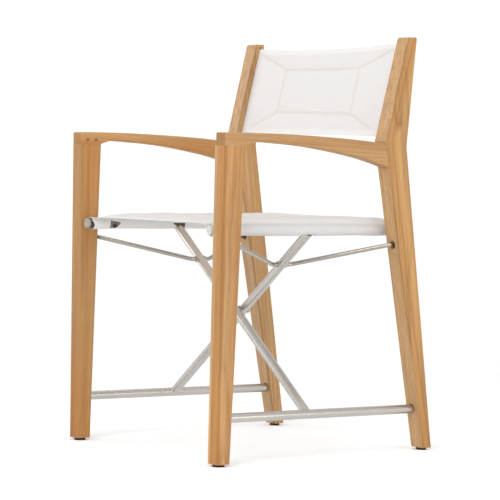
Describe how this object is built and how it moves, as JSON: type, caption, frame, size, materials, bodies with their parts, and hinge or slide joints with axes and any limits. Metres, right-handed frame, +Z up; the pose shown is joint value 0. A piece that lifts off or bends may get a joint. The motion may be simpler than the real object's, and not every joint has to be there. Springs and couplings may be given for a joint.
{
  "type": "folding armchair",
  "caption": "Folding deck armchair: hardwood side frames with arched arms, stainless X frame and brace rods, off-white sling seat and back.",
  "frame": {"origin": "on the floor, at the centre of the four feet's footprint", "axes": "+Z up, the chair faces -Y, +X is the sitter's left"},
  "size_m": [0.5964, 0.5372, 0.8601],
  "materials": {
    "teak": "sanded, lightly oiled hardwood",
    "peg_wood": "end grain hardwood pegs",
    "stainless": "satin stainless tube and rod",
    "seat_fabric": "fine open weave coated polyester, off-white",
    "back_fabric": "fine open weave coated polyester, off-white",
    "foot_rubber": "dark moulded foot",
    "nylon": "pale nylon bush",
    "plug_plastic": "light grey end plug"
  },
  "bodies": {
    "left_frame": {"left_front_leg": "teak", "left_rear_leg": "teak", "left_armrest": "teak", "left_arm_pegs": "peg_wood", "left_foot_pads": "foot_rubber", "left_rail_bushes": "nylon", "left_rod_bushes": "nylon", "left_sling_rod": "nylon", "back_sling": "back_fabric"},
    "front_x": {"left_bottom_rail": "stainless", "front_x_tube": "stainless", "right_seat_rail": "stainless", "right_seat_rail_plugs": "plug_plastic", "right_sleeve_screw": "stainless", "right_tube_bushes": "nylon", "pivot_bolt": "stainless", "pivot_spacer": "stainless", "pivot_nut": "stainless", "seat_sling": "seat_fabric"},
    "rear_x": {"right_bottom_rail": "stainless", "rear_x_tube": "stainless", "left_seat_rail": "stainless", "left_seat_rail_plugs": "plug_plastic", "left_sleeve_screw": "stainless", "left_tube_bushes": "nylon"},
    "right_frame": {"right_front_leg": "teak", "right_rear_leg": "teak", "right_armrest": "teak", "right_arm_pegs": "peg_wood", "right_foot_pads": "foot_rubber", "right_rail_bushes": "nylon", "right_rod_bushes": "nylon", "right_sling_rod": "nylon"},
    "left_brace": {"left_brace_rod": "stainless"},
    "right_brace": {"right_brace_rod": "stainless"}
  },
  "joints": [
    {"name": "fold", "type": "hinge", "parent": "left_frame", "child": "front_x", "pos_m": [0.26792, 0.00158, 0.09059], "axis": [0, 0.9998, -0.0175], "range_deg": [0, 36.75], "deforming": ["seat_sling", "back_sling"]},
    {"name": "scissor_pivot", "type": "hinge", "parent": "front_x", "child": "rear_x", "pos_m": [0, 0.00502, 0.28747], "axis": [0, 0.9998, -0.0175], "range_deg": [-75.05, 0]},
    {"name": "right_frame_pivot", "type": "hinge", "parent": "rear_x", "child": "right_frame", "pos_m": [-0.26792, 0.00158, 0.09059], "axis": [0, 0.9998, -0.0175], "range_deg": [0, 36.8]},
    {"name": "left_brace_pivot", "type": "hinge", "parent": "rear_x", "child": "left_brace", "pos_m": [0.1388, 0.0068, 0.38948], "axis": [0, 0.9998, -0.0175], "range_deg": [0, 127]},
    {"name": "right_brace_pivot", "type": "hinge", "parent": "front_x", "child": "right_brace", "pos_m": [-0.1388, 0.0068, 0.38948], "axis": [0, 0.9998, -0.0175], "range_deg": [-127, 0]}
  ],
  "couplings": [
    {"joint": "scissor_pivot", "follows": "fold", "ratio": -2.0408},
    {"joint": "right_frame_pivot", "follows": "fold", "ratio": 1},
    {"joint": "left_brace_pivot", "follows": "fold", "ratio": 3.45},
    {"joint": "right_brace_pivot", "follows": "fold", "ratio": -3.45}
  ]
}
